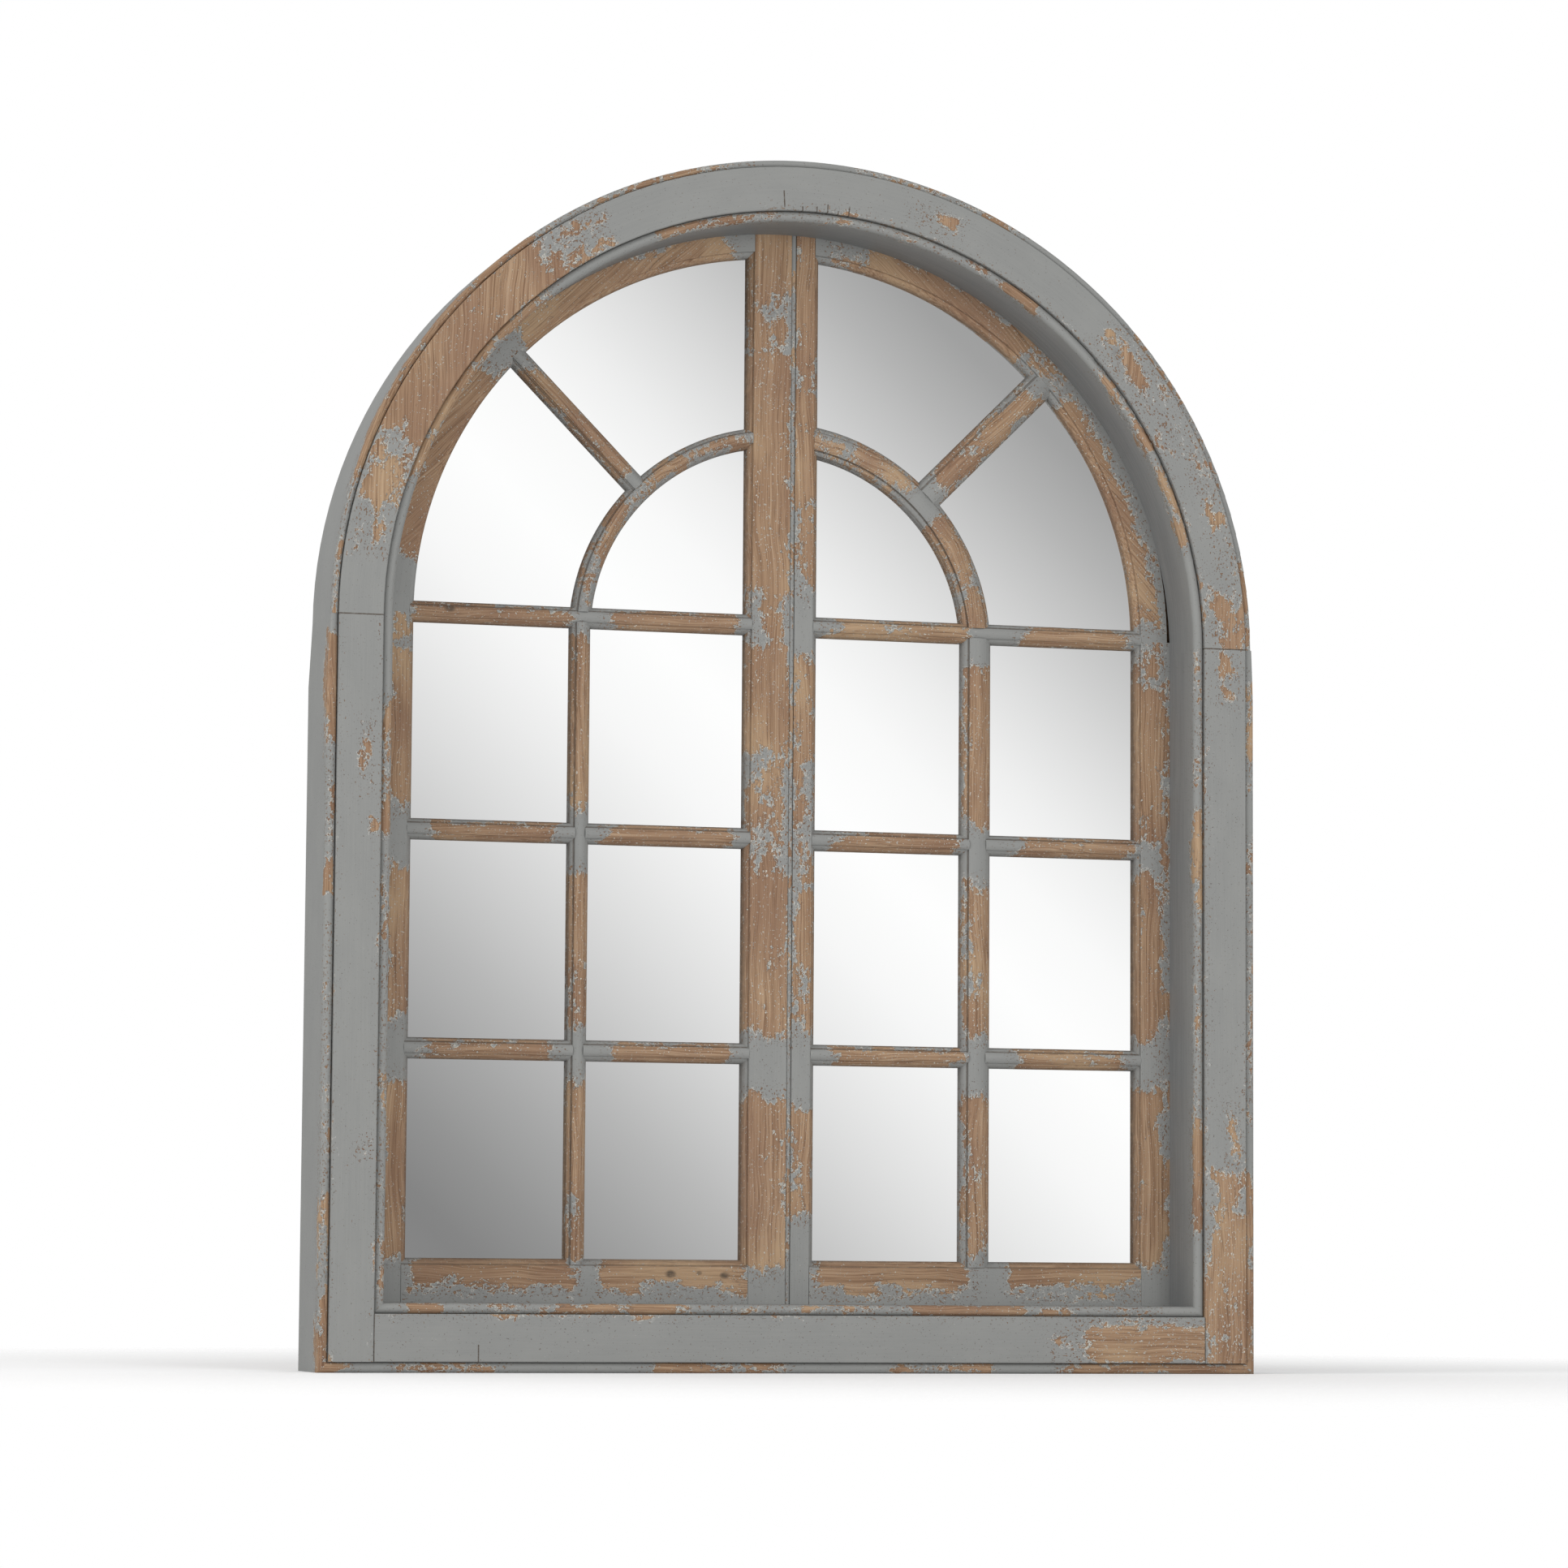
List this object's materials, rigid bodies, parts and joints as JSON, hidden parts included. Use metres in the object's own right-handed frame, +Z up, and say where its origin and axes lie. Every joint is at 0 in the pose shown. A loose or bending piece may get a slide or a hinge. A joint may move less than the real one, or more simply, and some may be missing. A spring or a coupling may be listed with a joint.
{
  "type": "arched window mirror",
  "caption": "Deep round-headed wall mirror made like a painted sash window, with glazing bars over mirror glass, a box frame with beads and D-ring hangers behind.",
  "frame": {"origin": "middle of the frame's underside, half way through its depth", "axes": "+X to the viewer's right, -Y out of the front towards the viewer, +Z up"},
  "size_m": [0.914, 0.095, 1.153],
  "materials": {
    "painted_wood": "matt grey chalk paint, worn through to bare softwood",
    "bare_wood": "plain sawn softwood",
    "back_panel": "brown hardboard",
    "mirror_glass": "polished mirror",
    "zinc_steel": "bright zinc plate"
  },
  "bodies": {
    "mirror": {"arch_band": "painted_wood", "arch_face_board": "painted_wood", "arch_lining": "painted_wood", "arch_rear_strip": "bare_wood", "back_panel": "back_panel", "back_panel_screws": "zinc_steel", "bottom_face_board": "painted_wood", "bottom_lining": "painted_wood", "bottom_rear_strip": "bare_wood", "bottom_wall": "painted_wood", "left_arc_bar": "painted_wood", "left_bottom_rail": "painted_wood", "left_cross_bar_1_inner": "painted_wood", "left_cross_bar_1_outer": "painted_wood", "left_cross_bar_2_inner": "painted_wood", "left_cross_bar_2_outer": "painted_wood", "left_face_board": "painted_wood", "left_hanger_screws": "zinc_steel", "left_hanger_strap": "zinc_steel", "left_head": "painted_wood", "left_lining": "painted_wood", "left_meeting_stile": "painted_wood", "left_mirror_glass": "mirror_glass", "left_outer_stile": "painted_wood", "left_rear_strip": "bare_wood", "left_side_wall": "painted_wood", "left_spoke": "painted_wood", "left_transom": "painted_wood", "left_upright_bar": "painted_wood", "meeting_bead": "painted_wood", "right_arc_bar": "painted_wood", "right_bottom_rail": "painted_wood", "right_cross_bar_1_inner": "painted_wood", "right_cross_bar_1_outer": "painted_wood", "right_cross_bar_2_inner": "painted_wood", "right_cross_bar_2_outer": "painted_wood", "right_face_board": "painted_wood", "right_hanger_screws": "zinc_steel", "right_hanger_strap": "zinc_steel", "right_head": "painted_wood", "right_lining": "painted_wood", "right_meeting_stile": "painted_wood", "right_mirror_glass": "mirror_glass", "right_outer_stile": "painted_wood", "right_rear_strip": "bare_wood", "right_side_wall": "painted_wood", "right_spoke": "painted_wood", "right_transom": "painted_wood", "right_upright_bar": "painted_wood"},
    "left_ring": {"left_hanger_ring": "zinc_steel"},
    "right_ring": {"right_hanger_ring": "zinc_steel"}
  },
  "joints": [
    {"name": "left_ring_hinge", "type": "hinge", "parent": "mirror", "child": "left_ring", "pos_m": [-0.432, 0.0434, 0.669], "axis": [1, 0, 0], "range_deg": [0, 180]},
    {"name": "right_ring_hinge", "type": "hinge", "parent": "mirror", "child": "right_ring", "pos_m": [0.432, 0.0434, 0.669], "axis": [1, 0, 0], "range_deg": [0, 180]}
  ]
}
